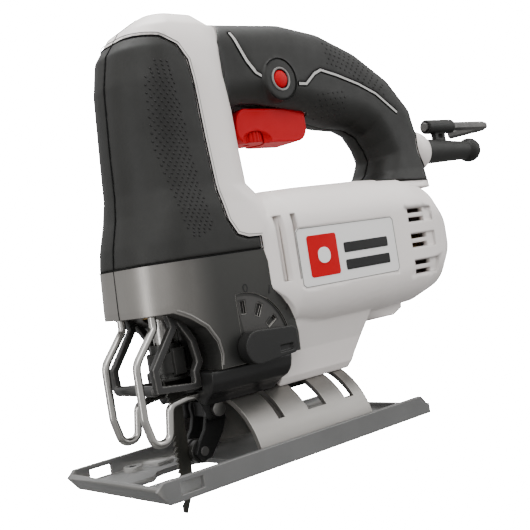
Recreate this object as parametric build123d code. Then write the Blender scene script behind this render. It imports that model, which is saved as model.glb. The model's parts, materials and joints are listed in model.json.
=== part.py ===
# Jigsaw power tool, millimetres. Blade end at -X, cord end at +X, left side at -Y, +Z up.
# Origin: underside of the shoe, mid-length, on the tool's middle plane.
from build123d import *
from math import atan2, cos, hypot, pi, radians, sin, sqrt, tan
import os

os.makedirs("parts", exist_ok=True)

# ---- driving dimensions -------------------------------------------------------------------
# shoe
shoe_length = 165.0
shoe_width = 76.0
shoe_sheet = 2.5
flange_height = 9.6
lip_reach = 5.2
lip_rise = 6.4
opening_front_half = 7.0
opening_rear_half = 14.0
guide_bar_width = 12.0
guide_bar_height = 5.0
# saddle arch
arch_radius = 35.2
arch_sheet = 2.5
arch_front = -29.0
arch_rear = 44.0
arch_gap = 0.3
bevel_limit = 45.0
clamp_x = 12.0
clamp_slot_width = 12.0
# housing
wall = 2.4
skin = 1.8
case_wall = 3.0
case_bottom = 46.6
case_top = 97.0
motor_z = 91.0
ball_center = (146.0, 0.0, 141.6)
ball_radius = 12.5
ball_gap = 0.7
# motor
stator_radius = 28.5
stator_length = 38.0
stator_x = 48.0
armature_radius = 16.5
air_gap = 0.6
shaft_radius = 4.0
fan_radius = 27.0
commutator_radius = 11.0
# gear train
gear_module = 0.75
pinion_teeth = 9
gear_teeth = 54
gear_x = -22.0
gear_width = 9.0
backlash = 0.16
# plunger and blade
stroke = 20.0
plunger_x = -48.5
plunger_radius = 4.75
fit_gap = 0.05
blade_width = 7.5
blade_thickness = 1.3
blade_tip_z = -17.0
tooth_pitch = 2.5
# roller guide
roller_radius = 5.5
roller_groove = 1.0
roller_z = 9.4
fork_pivot = (-32.5, 27.5)
# guards
wire_radius = 1.6
wire_y = 13.0
# controls
dial_center = (-21.5, 53.3)
dial_radius = 25.0
case_side = 28.0
lock_center = (31.5, 179.4)
lock_radius = 4.7
lock_boss_radius = 10.5
trigger_pivot = (50.0, 168.5)
trigger_width = 19.0
# cord gland and key
cord_radius = 3.6
key_flats = 5.0
key_z = 156.6
key_long = 66.0
key_short = 31.0
moving_gap = 0.3

half_shoe = shoe_length / 2
shoe_front = -half_shoe
shoe_rear = half_shoe
blade_back = plunger_x + blade_width / 2
blade_front = plunger_x - blade_width / 2
roller_x = blade_back + roller_radius - roller_groove + moving_gap
gear_radius = gear_module * gear_teeth / 2
pinion_radius = gear_module * pinion_teeth / 2
gear_z = motor_z + gear_radius + pinion_radius
foot_radius = arch_radius + arch_gap
tip_reach = hypot(shoe_width / 2, flange_height) + moving_gap
inner = skin + wall


# ---- shape helpers ------------------------------------------------------------------------
def rod(start, end, radius):
    a, b = Vector(start), Vector(end)
    return extrude(Plane(origin=a, z_dir=b - a) * Circle(radius), amount=(b - a).length)


def ring(start, end, outer, inner):
    a, b = Vector(start), Vector(end)
    profile = Circle(outer) - Circle(inner)
    return extrude(Plane(origin=a, z_dir=b - a) * profile, amount=(b - a).length)


def block(x0, x1, y0, y1, z0, z1):
    size = (x1 - x0, y1 - y0, z1 - z0)
    return Pos((x0 + x1) / 2, (y0 + y1) / 2, (z0 + z1) / 2) * Box(*size)


def side_slab(points, y0, y1):
    outline = Polyline(*[(x, y0, z) for x, z in points], close=True)
    return extrude(make_face(outline), amount=y1 - y0, dir=(0, 1, 0))


def cross_slab(points, x0, x1):
    outline = Polyline(*[(x0, y, z) for y, z in points], close=True)
    return extrude(make_face(outline), amount=x1 - x0, dir=(1, 0, 0))


def plan_slab(points, z0, z1):
    outline = Polyline(*[(x, y, z0) for x, y in points], close=True)
    return extrude(make_face(outline), amount=z1 - z0, dir=(0, 0, 1))


def rib(outer, inner, width, corner, inset):
    # rounded section between two points of the side outline, square to the middle plane
    a, b = Vector(outer[0], 0, outer[1]), Vector(inner[0], 0, inner[1])
    along = (b - a).normalized()
    plane = Plane(origin=(a + b) / 2, x_dir=along, z_dir=along.cross(Vector(0, 1, 0)))
    depth = (b - a).length - 2 * inset
    return plane * RectangleRounded(depth, width - 2 * inset, max(corner - inset, 1.0))


def skinned(ribs, inset):
    return loft([rib(*one, inset) for one in ribs], ruled=True)


def keep(shape):
    # the solid left when loose chips of a cut are dropped
    return max(shape.solids(), key=lambda piece: piece.volume)


def mirrored(shape):
    return mirror(shape, about=Plane.XZ)


# ---- outer forms of the body --------------------------------------------------------------
def column_form(inset):
    top = 211.0 - inset
    ribs = [
        ((-69.5, case_bottom), (26, case_bottom), 56, 20),
        ((-69.8, 78), (26, 78), 56, 21),
        ((-69.0, case_top), (26, case_top), 56, 22),
        ((-67.6, 106), (22, 106), 55.5, 22),
        ((-64.0, 119), (14, 119), 54, 22),
        ((-62.6, 129), (5, 129), 51, 22),
        ((-61.4, 150), (4, 150), 49, 21),
        ((-59.2, 178), (3, 178), 48, 20),
        ((-55.6, 193), (2, 193), 46, 18),
        ((-47.0, 204), (0, 204), 40, 14),
        ((-36.0, top), (-8, top), 26, 9),
    ]
    return skinned(ribs, inset)


def handle_form(inset):
    ribs = [
        ((-8, 209), (-8, 165), 34, 14),
        ((16, 210), (18, 166.5), 36, 15),
        ((44, 211.2), (50, 163), 37, 15),
        ((70, 208), (74, 157.5), 36, 15),
        ((97, 199), (90, 156), 34, 14.5),
        ((122, 184.5), (99, 152), 33, 14),
        ((138, 167), (104.5, 144), 32, 13),
        ((142, 148), (107, 137.5), 33, 13),
        ((143, 131), (102.5, 129.5), 35, 13),
        ((143.5, 119), (86, 119), 40, 15),
    ]
    return skinned(ribs, inset)


def motor_form(inset):
    ribs = [
        ((-4, 118), (-4, 62), 54, 18),
        ((8, 124.5), (8, 57.5), 72, 20),
        ((28, 125), (28, 56), 76, 20),
        ((70, 125.5), (70, 56), 76, 20),
        ((100, 125), (100, 57), 75, 21),
        ((120, 121), (120, 61), 68, 21),
        ((133, 113), (133, 69), 54, 18),
        ((141 - inset, 103), (141 - inset, 79), 32, 9),
    ]
    return skinned(ribs, inset)


def foot_corner(reach):
    # the edge that clears the flange's tip when the shoe tilts to its limit
    angle = radians(bevel_limit + 1) + atan2(flange_height, shoe_width / 2)
    return (reach * cos(angle), reach * sin(angle))


def leg_form(inset):
    side = [(1 + inset, 20), (41 - inset, 20), (50 - inset, 34), (57 - inset, 46),
            (62 - inset, 58), (64 - inset, 80), (1 + inset, 80)]
    low, high = foot_corner(foot_radius), foot_corner(tip_reach)
    half = [(low[0], 20), low, high, (high[0] + 0.5, 38), (22, 46), (27, 58), (31, 80)]
    face = [(y - inset, z) for y, z in half] + [(inset - y, z) for y, z in reversed(half)]
    return side_slab(side, -40, 40) & cross_slab(face, 0, 70)


def ball_form(inset):
    neck = rod((120, 0, 136), ball_center, 10.5 - inset)
    return Pos(*ball_center) * Sphere(ball_radius - inset) + neck


def sump_form(inset):
    # shallow box under the motor, behind the leg
    side = [(40, 70), (40, 52 + inset), (84 - inset, 52 + inset), (91 - inset, 55 + inset),
            (94 - inset, 70)]
    return side_slab(side, inset - 22, 22 - inset)


def body_form(inset):
    column = column_form(inset) - block(8, 40, -40, 40, 0, 62)
    x, y, z = ball_center
    grip_bow = handle_form(inset) - rod((x, -40, z), (x, 40, z), ball_radius + ball_gap + inset)
    lower = motor_form(inset) + leg_form(inset) + sump_form(inset)
    return column + grip_bow + lower + ball_form(inset)


# ---- colour and cover regions in side view ------------------------------------------------
def case_region():
    arc = [(dial_center[0] + 31 * cos(radians(a)), dial_center[1] + 31 * sin(radians(a)))
           for a in (52, 40, 28, 16, 4, -12)]
    outline = [(-90, case_top), (-4.5, case_top), (-3, 91), (-3, 80)] + arc + [(-90, case_bottom)]
    return side_slab([p for p in outline if p[1] >= case_bottom], -45, 45)


def nose_region():
    outline = [(-90, 200), (-52, 199), (-40, 197.5), (-32, 193.5), (-27.5, 186.5), (-26.5, 175),
               (-25.5, 150), (-24.5, 125), (-22, 112), (-18, 105), (-12, 103), (-4.5, 103),
               (-4.5, case_top), (-90, case_top)]
    return side_slab(outline, -45, 45)


def grip_region():
    outline = [(8, 215), (-1, 203), (-6, 192), (-7, 180), (-4, 168), (1, 158), (90, 140),
               (93, 129.5), (84, 124), (152, 122.5), (152, 215)]
    x, y, z = ball_center
    return side_slab(outline, -45, 45) - rod((x, -50, z), (x, 50, z), ball_radius + ball_gap / 2)


def clamp_bay(margin):
    # open space for the blade clamp, cut from the front underside of the gear case
    outline = [(-95, 40), (-95, 75 + margin), (-58.5 + margin / 3, 75 + margin),
               (-51.6 + margin / 2, 71.3 + margin), (-44 + margin, 66 + margin / 2),
               (-39.5 + margin, 59), (-38.3 + margin, 53), (-40 + margin, 40)]
    return side_slab(outline, -45, 45)


def left(shape):
    return keep(shape & block(-120, 260, -60, 0, -40, 260))


def right(shape):
    return keep(shape & block(-120, 260, 0, 60, -40, 260))


# ---- main forms ---------------------------------------------------------------------------
outer_body = body_form(0)
mid_body = body_form(skin)
inner_body = body_form(inner)
outer_column = column_form(0)
skin_shell = outer_body - mid_body
stripe_shell = outer_body - body_form(skin / 2)

housing_bolts = [(-17, 190), (-10, 143), (98, 184), (121, 150), (126, 111.5), (47.5, 49.5)]
case_bolts = [(-63, 88), (0, 56)]
bolt_radius = 1.8
bolt_hole = 1.9
bolt_head_y = 8.0
boss_radius = 5.2


def bosses(places, form, side):
    posts = [rod((x, 0, z), (x, side * 45, z), boss_radius) for x, z in places]
    return Compound(posts) & form


def bolt_cuts(places, side):
    cuts = [rod((x, 0, z), (x, -12, z), bolt_hole) for x, z in places] if side < 0 else []
    if side > 0:
        for x, z in places:
            cuts.append(rod((x, 0, z), (x, bolt_head_y, z), bolt_hole))
            cuts.append(rod((x, bolt_head_y, z), (x, 50, z), 3.9))
    return Compound(cuts)


def bolts(places):
    made = []
    for x, z in places:
        shank = rod((x, -11, z), (x, bolt_head_y, z), bolt_radius)
        head = rod((x, bolt_head_y, z), (x, bolt_head_y + 3, z), 3.5)
        socket = extrude(Plane(origin=(x, bolt_head_y + 3, z), z_dir=(0, -1, 0))
                         * RegularPolygon(1.6, 6), amount=1.8)
        made.append(shank + head - socket)
    return Compound(made)


# ---- housing and overmoulds ---------------------------------------------------------------
badge_depth = 0.8
vent_depth = 1.3
vent_rows = (103.0, 89.4, 75.4)
vent_pitch = 4.6
vent_half = 1.15
side_skin = motor_form(0) - motor_form(vent_depth)


def vents():
    cuts = []
    for middle in vent_rows:
        for slot in (-vent_pitch / 2, vent_pitch / 2):
            z = middle + slot
            cuts.append(block(90, 104.6, -45, 45, z - vent_half, z + vent_half))
        cuts.append(block(89.4, 112, -45, 45, middle - 3.9, middle + 3.9) & side_skin)
    for x in (2.2, 8.6):
        cuts.append(block(x, x + 3.2, -45, -24, 80, 111))
        cuts.append(block(x, x + 3.2, 24, 45, 80, 111))
    return Compound(cuts)


trigger_room = block(5, 55, -trigger_width / 2 - 0.5, trigger_width / 2 + 0.5, 140, 176)
trigger_pin_hole = rod((trigger_pivot[0], -11.4, trigger_pivot[1]),
                       (trigger_pivot[0], 11.4, trigger_pivot[1]), 1.6)
lock_x, lock_z = lock_center
lock_hole = rod((lock_x, -40, lock_z), (lock_x, -9, lock_z), lock_radius + moving_gap)
foot_room = rod((-60, 0, 0), (60, 0, 0), foot_radius)
nose = nose_region()
grip = grip_region()
case = case_region()
barrel_room = side_slab([(-60, 0), (-4, 0), (-4, 30), (-1, 33), (3, 38), (4, case_bottom),
                         (-60, case_bottom)], -45, 45)
cord_socket = rod((138, 0, ball_center[2]), (170, 0, ball_center[2]), 8.0)
badge_outline = [(11, 75.5), (75, 75.5), (76.5, 77), (76.5, 102), (75, 103.5), (11, 103.5),
                 (9.5, 102), (9.5, 77)]
badge_room = side_slab(badge_outline, -45, 45) & (motor_form(0) - motor_form(badge_depth))


foot_half = foot_corner(foot_radius)[0] - inner - moving_gap
foot_block = block(-6, 36.4, -foot_half, foot_half, 20, 52)
half_space = {-1: left, 1: right}


def housing_half(side):
    pick = half_space[side]
    shell = keep(pick(outer_body - inner_body) - case)
    shell = keep(shell - nose_skins[side])
    shell = keep(shell - pick(skin_shell & grip))
    shell = shell - barrel_room - foot_room - foot_block
    shell = shell - trigger_room - trigger_pin_hole - vents() - cord_socket - badge_room
    if side < 0:
        shell = shell - lock_hole
    lugs = bosses(housing_bolts, mid_body, side) - case
    return keep(keep(shell) + lugs - bolt_cuts(housing_bolts, side))


nose_skins = {side: half_space[side](skin_shell & nose) for side in (-1, 1)}
grip_bare = {side: keep(half_space[side](skin_shell & grip) - trigger_room - cord_socket)
             for side in (-1, 1)}
lock_boss = rod((lock_x, -14, lock_z), (lock_x, -19.6, lock_z), lock_boss_radius) - mid_body


def stripe_ribbon(points, half_width):
    # straight runs with mitred corners, cut through the whole width
    runs = []
    for (x0, z0), (x1, z1) in zip(points, points[1:]):
        length = hypot(x1 - x0, z1 - z0)
        ux, uz = (x1 - x0) / length, (z1 - z0) / length
        nx, nz = -uz * half_width, ux * half_width
        runs.append(side_slab([(x0 + nx, z0 + nz), (x1 + nx, z1 + nz), (x1 - nx, z1 - nz),
                               (x0 - nx, z0 - nz)], -45, 45))
    joints = [rod((x, -45, z), (x, 45, z), half_width) for x, z in points[1:-1]]
    ribbon = runs[0]
    for piece in runs[1:] + joints:
        ribbon = ribbon + piece
    return ribbon


stripe_front = [(6, 203), (8.5, 196), (12.5, 188.5), (17, 183), (21, 181)]
stripe_back = [(44.5, 177.6), (50, 177.5), (57, 183), (62, 185), (74, 182.5), (91, 178),
               (104, 173), (113, 167), (120, 162.5)]
stripe_half = 1.0
ribbons = [stripe_ribbon(stripe_front, stripe_half), stripe_ribbon(stripe_back, stripe_half)]
stripe_space = {-1: block(0, 150, -30, -3, 100, 220), 1: block(0, 150, 3, 30, 100, 220)}


def stripe_pair(side):
    bed = half_space[side](stripe_shell & grip)
    return [keep((bed & ribbon) & stripe_space[side]) for ribbon in ribbons]


stripes = {side: stripe_pair(side) for side in (-1, 1)}
grip_skins = {side: keep(grip_bare[side] - Compound(stripes[side])) for side in (-1, 1)}

# ---- gear case and shoe support -----------------------------------------------------------
bush_outer = 8.0
lower_bush_z = (73.5, 90.0)
upper_bush_z = (134.0, 146.0)
selector_x, selector_z = dial_center
selector_shaft_radius = 4.0


def gear_case():
    form = outer_column & case
    hollow = (column_form(case_wall) & case_region()) - clamp_bay(case_wall)
    hollow = hollow & block(-90, 40, -45, 45, case_bottom + case_wall, 120)
    hollow = hollow - rod((plunger_x, 0, lower_bush_z[0] - 5), (plunger_x, 0, 92), bush_outer + 3)
    body = form - clamp_bay(0) - hollow
    body = body - rod((plunger_x, 0, 60), (plunger_x, 0, 100), bush_outer)
    body = body - rod((selector_x, -40, selector_z), (selector_x, 40, selector_z),
                      selector_shaft_radius + fit_gap)
    return body


def dial_recess():
    x, z = dial_center
    fan = rod((x, -case_side - 1, z), (x, -case_side + 1.0, z), dial_radius)
    fan = fan & block(x - 4, x + 40, -40, 0, z - 6, z + 40)
    pockets = []
    for angle in (90, 61, 32, 3):
        a = radians(angle)
        pocket = Pos(x + 18.5 * cos(a), -case_side + 1, z + 18.5 * sin(a)) * Rot(0, -angle, 0) \
            * Box(6.0, 3.0, 2.8)
        pockets.append(pocket)
    return fan + Compound(pockets)


bare_case = gear_case()


def case_half(side):
    pick = left if side < 0 else right
    solid = pick(bare_case)
    lugs = bosses(case_bolts, outer_column, side) - clamp_bay(0)
    solid = keep(solid + lugs - bolt_cuts(case_bolts, side))
    return solid - dial_recess() if side < 0 else solid


def shoe_support():
    low, high = foot_corner(foot_radius), foot_corner(tip_reach)
    half = [(low[0], 20), low, high, (24, 36.8), (26.4, 41), (27, case_bottom)]
    face = half + [(-y, z) for y, z in reversed(half)]
    front = cross_slab(face, -44, 10) & barrel_room
    rear = foot_block - block(-6, 9.6, -30, 30, case_bottom, 60)
    ears = side_slab([(-42, 40), (-42, 33), (-38, 23.4), (-29.4, 23.4), (-29.4, 40)], 7.3, 10.3)
    hollow = block(-45, -24, -17, 17, 38.5, 43.5)
    body = front + rear - foot_room + ears + mirrored(ears)
    body = body - rod((fork_pivot[0], -20, fork_pivot[1]), (fork_pivot[0], 20, fork_pivot[1]), 2.0)
    body = body - rod((clamp_x, 0, 20), (clamp_x, 0, 50), 3.05) - hollow
    body = body - block(-60, -38.4, -10, 10, 20, 60)
    return body - block(-60, -29.4, -7.3, 7.3, 20, 35)


def bearing_plate():
    plate = block(-11, -4, -20, 20, 78, 136) & inner_body & column_form(inner + 0.2)
    plate = plate - rod((-12, 0, motor_z), (0, 0, motor_z), 11.0)
    plate = plate - rod((-12, 0, gear_z), (0, 0, gear_z), 5.0)
    return keep(plate)


# ---- motor --------------------------------------------------------------------------------
stator_end = stator_x + stator_length


def motor_stator():
    body = ring((stator_x, 0, motor_z), (stator_end, 0, motor_z), stator_radius,
                armature_radius + air_gap)
    for side in (-1, 1):
        body = body - block(stator_x - 1, stator_end + 1, side * 12 - 4, side * 12 + 4,
                            motor_z + 14.5, motor_z + 23)
        body = body - block(stator_x - 1, stator_end + 1, side * 12 - 4, side * 12 + 4,
                            motor_z - 23, motor_z - 14.5)
    return body


def stator_windings():
    coils = []
    for x0, x1 in ((stator_x - 8, stator_x), (stator_end, stator_end + 8)):
        coils.append(ring((x0, 0, motor_z), (x1, 0, motor_z), 25.5, 18.5))
    return Compound(coils)


def armature_shaft():
    shaft = rod((-27, 0, motor_z), (130, 0, motor_z), shaft_radius)
    return shaft - ring((-28, 0, motor_z), (-12, 0, motor_z), shaft_radius + 1, 2.2)


def armature_core():
    body = ring((stator_x, 0, motor_z), (stator_end, 0, motor_z), armature_radius, shaft_radius)
    slots = 12
    for i in range(slots):
        slot = Pos(stator_x + stator_length / 2, 0, motor_z) * Rot(360 * i / slots, 0, 0) \
            * Pos(0, 0, armature_radius - 1) * Box(stator_length + 2, 2.0, 4.0)
        body = body - slot
    return body


def armature_windings():
    front = ring((stator_x - 7, 0, motor_z), (stator_x, 0, motor_z), 14.5, shaft_radius)
    rear = ring((stator_end, 0, motor_z), (stator_end + 7, 0, motor_z), 14.5, shaft_radius)
    return Compound([front, rear])


def commutator():
    body = ring((96, 0, motor_z), (110, 0, motor_z), commutator_radius, shaft_radius)
    for i in range(24):
        body = body - Pos(103, 0, motor_z) * Rot(15 * i, 0, 0) * Pos(0, 0, commutator_radius) \
            * Box(16, 0.5, 1.6)
    return body


def cooling_fan():
    hub = ring((22, 0, motor_z), (33, 0, motor_z), 8, shaft_radius)
    disc = ring((22, 0, motor_z), (24, 0, motor_z), fan_radius, 7)
    fan = hub + disc
    for i in range(12):
        blade = Pos(28.5, 0, motor_z) * Rot(30 * i, 0, 0) * Pos(0, 0, 17) * Box(9, 1.6, 18.6)
        fan = fan + blade
    return fan


def ball_bearing(x, outer, bore):
    race = ring((x, 0, motor_z), (x + 7, 0, motor_z), outer, bore)
    groove = ring((x - 1, 0, motor_z), (x + 1, 0, motor_z), outer - 2.4, bore + 2.4)
    return race - groove - Pos(7, 0, 0) * groove


def brush_parts():
    holders, brushes = [], []
    for side in (-1, 1):
        tube = block(99, 107, 14, 29, motor_z - 6, motor_z + 6)
        tube = tube - block(100, 106, 13, 30, motor_z - 4.5, motor_z + 4.5)
        brush = block(100, 106, commutator_radius + 0.1, 24, motor_z - 4.5, motor_z + 4.5)
        brush = brush - rod((90, 0, motor_z), (120, 0, motor_z), commutator_radius + 0.1)
        holders.append(tube if side > 0 else mirrored(tube))
        brushes.append(brush if side > 0 else mirrored(brush))
    return Compound(holders), Compound(brushes)


# ---- gear train and plunger ---------------------------------------------------------------
def toothed_wheel(teeth, shift, phase):
    # involute flanks drawn from the base circle, with radial roots
    module = gear_module
    pitch = module * teeth / 2
    base = pitch * cos(radians(20))
    tip = pitch + (0.9 + shift) * module
    root = pitch - (1.25 - shift) * module
    half_tooth = pi / (2 * teeth) + 2 * shift * tan(radians(20)) / teeth - backlash / (4 * pitch)
    involute_pitch = tan(radians(20)) - radians(20)
    points = []
    for i in range(teeth):
        middle = 2 * pi * i / teeth + phase
        flank = []
        start = max(base, root)
        for k in range(5):
            r = start + (tip - start) * k / 4
            along = sqrt(max((r / base) ** 2 - 1, 0.0))
            half = half_tooth + involute_pitch - (along - atan2(along, 1.0))
            flank.append((r, max(half, 0.0)))
        if root < base:
            flank.insert(0, (root, flank[0][1]))
        points += [(r * cos(middle - h), r * sin(middle - h)) for r, h in flank]
        points += [(r * cos(middle + h), r * sin(middle + h)) for r, h in reversed(flank)]
    return points


gear_face = (gear_x - gear_width / 2, gear_x + gear_width / 2)
pinion_shift = 0.4


def drive_gear():
    # a tooth gap points down at the pinion
    outline = toothed_wheel(gear_teeth, -pinion_shift, -pi / 2 + pi / gear_teeth)
    wheel = cross_slab([(y, gear_z + z) for y, z in outline], *gear_face)
    hub = rod((gear_face[1], 0, gear_z), (gear_face[1] + 4, 0, gear_z), 8)
    bore = rod((gear_face[0] - 1, 0, gear_z), (gear_face[1] + 5, 0, gear_z), 5 + fit_gap)
    crank_hole = rod((gear_face[0] - 1, 0, gear_z + stroke / 2),
                     (gear_face[0] + 5, 0, gear_z + stroke / 2), 3.0)
    return wheel + hub - bore - crank_hole


def motor_pinion():
    outline = toothed_wheel(pinion_teeth, pinion_shift, pi / 2)
    wheel = cross_slab([(y, motor_z + z) for y, z in outline], gear_face[0] - 0.5,
                       gear_face[1] + 0.5)
    return wheel - rod((-40, 0, motor_z), (0, 0, motor_z), 2.2)


yoke_back = plunger_x + plunger_radius + 5.5


def crank_pin():
    z = gear_z + stroke / 2
    return rod((yoke_back + moving_gap, 0, z), (gear_face[0] + 5, 0, z), 3.0)


def balance_weight():
    x0, x1 = gear_face[0] - 4, gear_face[0]
    disc = ring((x0, 0, gear_z), (x1, 0, gear_z), 18, 7)
    return disc & block(x0, x1, -30, 30, gear_z - 30, gear_z - 1)


def gear_axle():
    return rod((gear_face[0], 0, gear_z), (-4, 0, gear_z), 5.0)


plunger_bottom = 56.0
plunger_top = 171.0


def plunger():
    bar = rod((plunger_x, 0, plunger_bottom), (plunger_x, 0, plunger_top), plunger_radius)
    return bar - block(plunger_x - 5, plunger_x + 5, -blade_thickness / 2, blade_thickness / 2,
                       plunger_bottom - 1, plunger_bottom + 6)


def scotch_yoke():
    z = gear_z + stroke / 2
    x0 = plunger_x + plunger_radius - 3
    plate = block(x0, yoke_back, -15, 15, z - 6.5, z + 6.5)
    slot = block(x0 + 4.2, yoke_back + 1, -13, 13, z - 3.1, z + 3.1)
    return plate - slot - rod((plunger_x, 0, 100), (plunger_x, 0, 150), plunger_radius)


def bushing(z_range, block_half):
    low, high = z_range
    bore = rod((plunger_x, 0, low - 1), (plunger_x, 0, high + 1), plunger_radius + fit_gap)
    if block_half:
        holder = block(plunger_x - 9, plunger_x + 9, -block_half, block_half, low, high)
        return keep(holder & column_form(inner)) - bore
    return rod((plunger_x, 0, low), (plunger_x, 0, high), bush_outer) - bore


clamp_body_z = (46.0, 61.0)
clamp_body_radius = 7.0


def blade_clamp():
    low, high = clamp_body_z
    body = rod((plunger_x, 0, low), (plunger_x, 0, high), clamp_body_radius)
    body = body + rod((plunger_x, 0, low - 1.5), (plunger_x, 0, low), clamp_body_radius + 1.6)
    body = body - rod((plunger_x, 0, plunger_bottom), (plunger_x, 0, 80), plunger_radius)
    slot = block(blade_front - 0.1, blade_back + 0.1, -blade_thickness / 2 - 0.05,
                 blade_thickness / 2 + 0.05, low - 3, plunger_bottom + 0.1)
    return body - slot


def clamp_lever():
    low, high = clamp_body_z
    collar = ring((plunger_x, 0, low + 2), (plunger_x, 0, high - 4), 9.0,
                  clamp_body_radius + fit_gap)
    tab = block(plunger_x - 3, plunger_x + 3, -10.4, -8.0, low + 1, high - 2)
    return collar + (tab - rod((plunger_x, 0, 30), (plunger_x, 0, 80), clamp_body_radius + 0.5))


def saw_blade():
    top = plunger_bottom
    edge = [(blade_front, 44)]
    z = 42.0
    while z > blade_tip_z + 4:
        edge.append((blade_front + 0.2, z))
        edge.append((blade_front + 1.5, z - tooth_pitch * 0.35))
        edge.append((blade_front, z - tooth_pitch))
        z -= tooth_pitch
    tip = [(blade_front - 0.0, blade_tip_z + 1), (blade_front + 1.5, blade_tip_z),
           (blade_back, blade_tip_z + 12)]
    shank = [(blade_back, top - 8), (blade_back - 1.5, top), (blade_front + 1.5, top),
             (blade_front, top - 8)]
    return side_slab(edge + tip + shank, -blade_thickness / 2, blade_thickness / 2)


# ---- roller guide, guards -----------------------------------------------------------------
def guide_roller():
    wheel = rod((roller_x, -3.8, roller_z), (roller_x, 3.8, roller_z), roller_radius)
    groove = ring((roller_x, -0.95, roller_z), (roller_x, 0.95, roller_z), roller_radius + 1,
                  roller_radius - roller_groove)
    return wheel - groove - rod((roller_x, -9, roller_z), (roller_x, 9, roller_z), 2.2 + fit_gap)


def roller_pin():
    return rod((roller_x, -6.6, roller_z), (roller_x, 6.6, roller_z), 2.2)


def roller_fork():
    px, pz = fork_pivot
    side = [(roller_x - 1.5, roller_z - 4.3), (roller_x + 3.5, roller_z - 3.8), (-28, 15.5),
            (-25, 21.5), (-25.5, 28), (-29, 31.6), (px - 3.5, pz + 4), (-37, 29), (-36.5, 24),
            (-38, 19), (-42.3, 13.2), (roller_x - 4.6, roller_z - 0.5)]
    arm = side_slab(side, 4.2, 6.2)
    bridge = side_slab([(-35, 24), (-27.5, 24), (-27.5, 31), (-35, 31)], -6.2, 6.2)
    body = arm + mirrored(arm) + bridge
    body = body - rod((px, -9, pz), (px, 9, pz), 2.0 + fit_gap)
    return body - rod((roller_x, -9, roller_z), (roller_x, 9, roller_z), 2.2)


def fork_pin():
    px, pz = fork_pivot
    pin = rod((px, -10.3, pz), (px, 10.3, pz), 2.0)
    return pin + rod((px, -12.3, pz), (px, -10.3, pz), 3.4)


def bent_wire(points, radii):
    path = FilletPolyline(*points, radius=radii)
    start = Plane(origin=path @ 0, z_dir=path % 0)
    return sweep(start * Circle(wire_radius), path)


def wire_guard():
    route = [(-61.4, 75.0), (-61.4, 69.5), (-73.2, 55.2), (-73.2, 31.0), (-70.2, 19.6),
             (-62.0, 19.6), (-59.6, 34.6), (-50.5, 36.2), (-44.0, 36.2)]
    radii = [4.0, 8.0, 9.0, 4.4, 4.4, 3.5, 4.0]
    loop = bent_wire([(x, -wire_y, z) for x, z in route], radii)
    return Compound([loop, mirrored(loop)])


guard_bar = 3.2


def blade_guard():
    outline = [(-57.5, 74.8), (-56, 69), (-68.6, 52.3), (-68, 41.6), (-44.3, 39.2),
               (-44.3, 47), (-41.6, 51), (-43.6, 62), (-49.5, 71.5), (-50.5, 74.8)]
    frame = make_face(Polyline(*[(x, z) for x, z in outline], close=True))
    window = offset(frame, -guard_bar, kind=Kind.INTERSECTION)
    plate = extrude(Plane.XZ * (frame - window), amount=3.3)
    plate = Pos(0, -15.0, 0) * plate
    bay = clamp_bay(0.0)
    cross = rod((-66.8, -15.5, 42.8), (-66.8, 15.5, 42.8), 2.4)
    plate = plate & bay
    return plate + mirrored(plate) + cross


# ---- orbit selector -----------------------------------------------------------------------
lever_radius = 7.6


def selector_lever():
    x, z = dial_center
    y0, y1 = -case_side - moving_gap, -case_side - 6.8
    disc = rod((x, y0, z), (x, y1, z), lever_radius)
    outline = [(x, z - lever_radius), (x + 21, z - 6.0), (x + 23.5, z - 4.0), (x + 23.5, z + 4.6),
               (x + 21.5, z + 6.4), (x, z + lever_radius)]
    lever = disc + side_slab(outline, y1, y0)
    lever = lever - block(x + 12, x + 20, y1 - 1, y1 + 1.2, z - 4.4, z - 1.4)
    return lever - rod((x, y0 + 1, z), (x, y0 - 4, z), 2.5)


def selector_shaft():
    x, z = dial_center
    inner_end = case_side - case_wall + 1
    shaft = rod((x, -case_side - moving_gap, z), (x, inner_end, z), selector_shaft_radius)
    square = rod((x, -case_side - moving_gap - 3, z), (x, -case_side - moving_gap, z), 2.5)
    return shaft + square - block(x - 5, x + 5, -6, 6, z + 1.2, z + 6)


# ---- controls -----------------------------------------------------------------------------
dial_x = 19.0
dial_wheel_radius = 8.8


def trigger():
    side = [(6.2, 155), (7.2, 162.5), (11.5, 168), (32, 167.2), (46, 168), (47, 172), (53, 172),
            (54.2, 168), (53.8, 158), (48, 152.4), (39, 149.6), (18, 149.6), (8.2, 150.6)]
    half = trigger_width / 2
    body = side_slab(side, -half, half)
    body = body - rod((trigger_pivot[0], -20, trigger_pivot[1]),
                      (trigger_pivot[0], 20, trigger_pivot[1]), 1.6 + fit_gap)
    room = rod((dial_x, 0, 140), (dial_x, 0, 156.4), dial_wheel_radius + moving_gap)
    scoop = block(dial_x - 6, dial_x + 6, -half - 1, -half + 2, 148, 156.4)
    body = body - room - scoop - mirrored(scoop)
    return body + rod((dial_x, 0, 151), (dial_x, 0, 158), 1.6)


def trigger_pin():
    x, z = trigger_pivot
    return rod((x, -11.4, z), (x, 11.4, z), 1.6)


def speed_dial():
    wheel = rod((dial_x, 0, 150.2), (dial_x, 0, 156.0), dial_wheel_radius)
    for i in range(24):
        wheel = wheel - Pos(dial_x, 0, 153) * Rot(0, 0, 15 * i) \
            * Pos(dial_wheel_radius, 0, 0) * Box(0.9, 0.9, 8)
    return wheel - rod((dial_x, 0, 140), (dial_x, 0, 160), 1.6 + fit_gap)


def lock_button():
    cap = rod((lock_x, -20.8, lock_z), (lock_x, -12.5, lock_z), lock_radius)
    return cap - rod((lock_x, -15, lock_z), (lock_x, -12, lock_z), 3.6)


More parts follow.
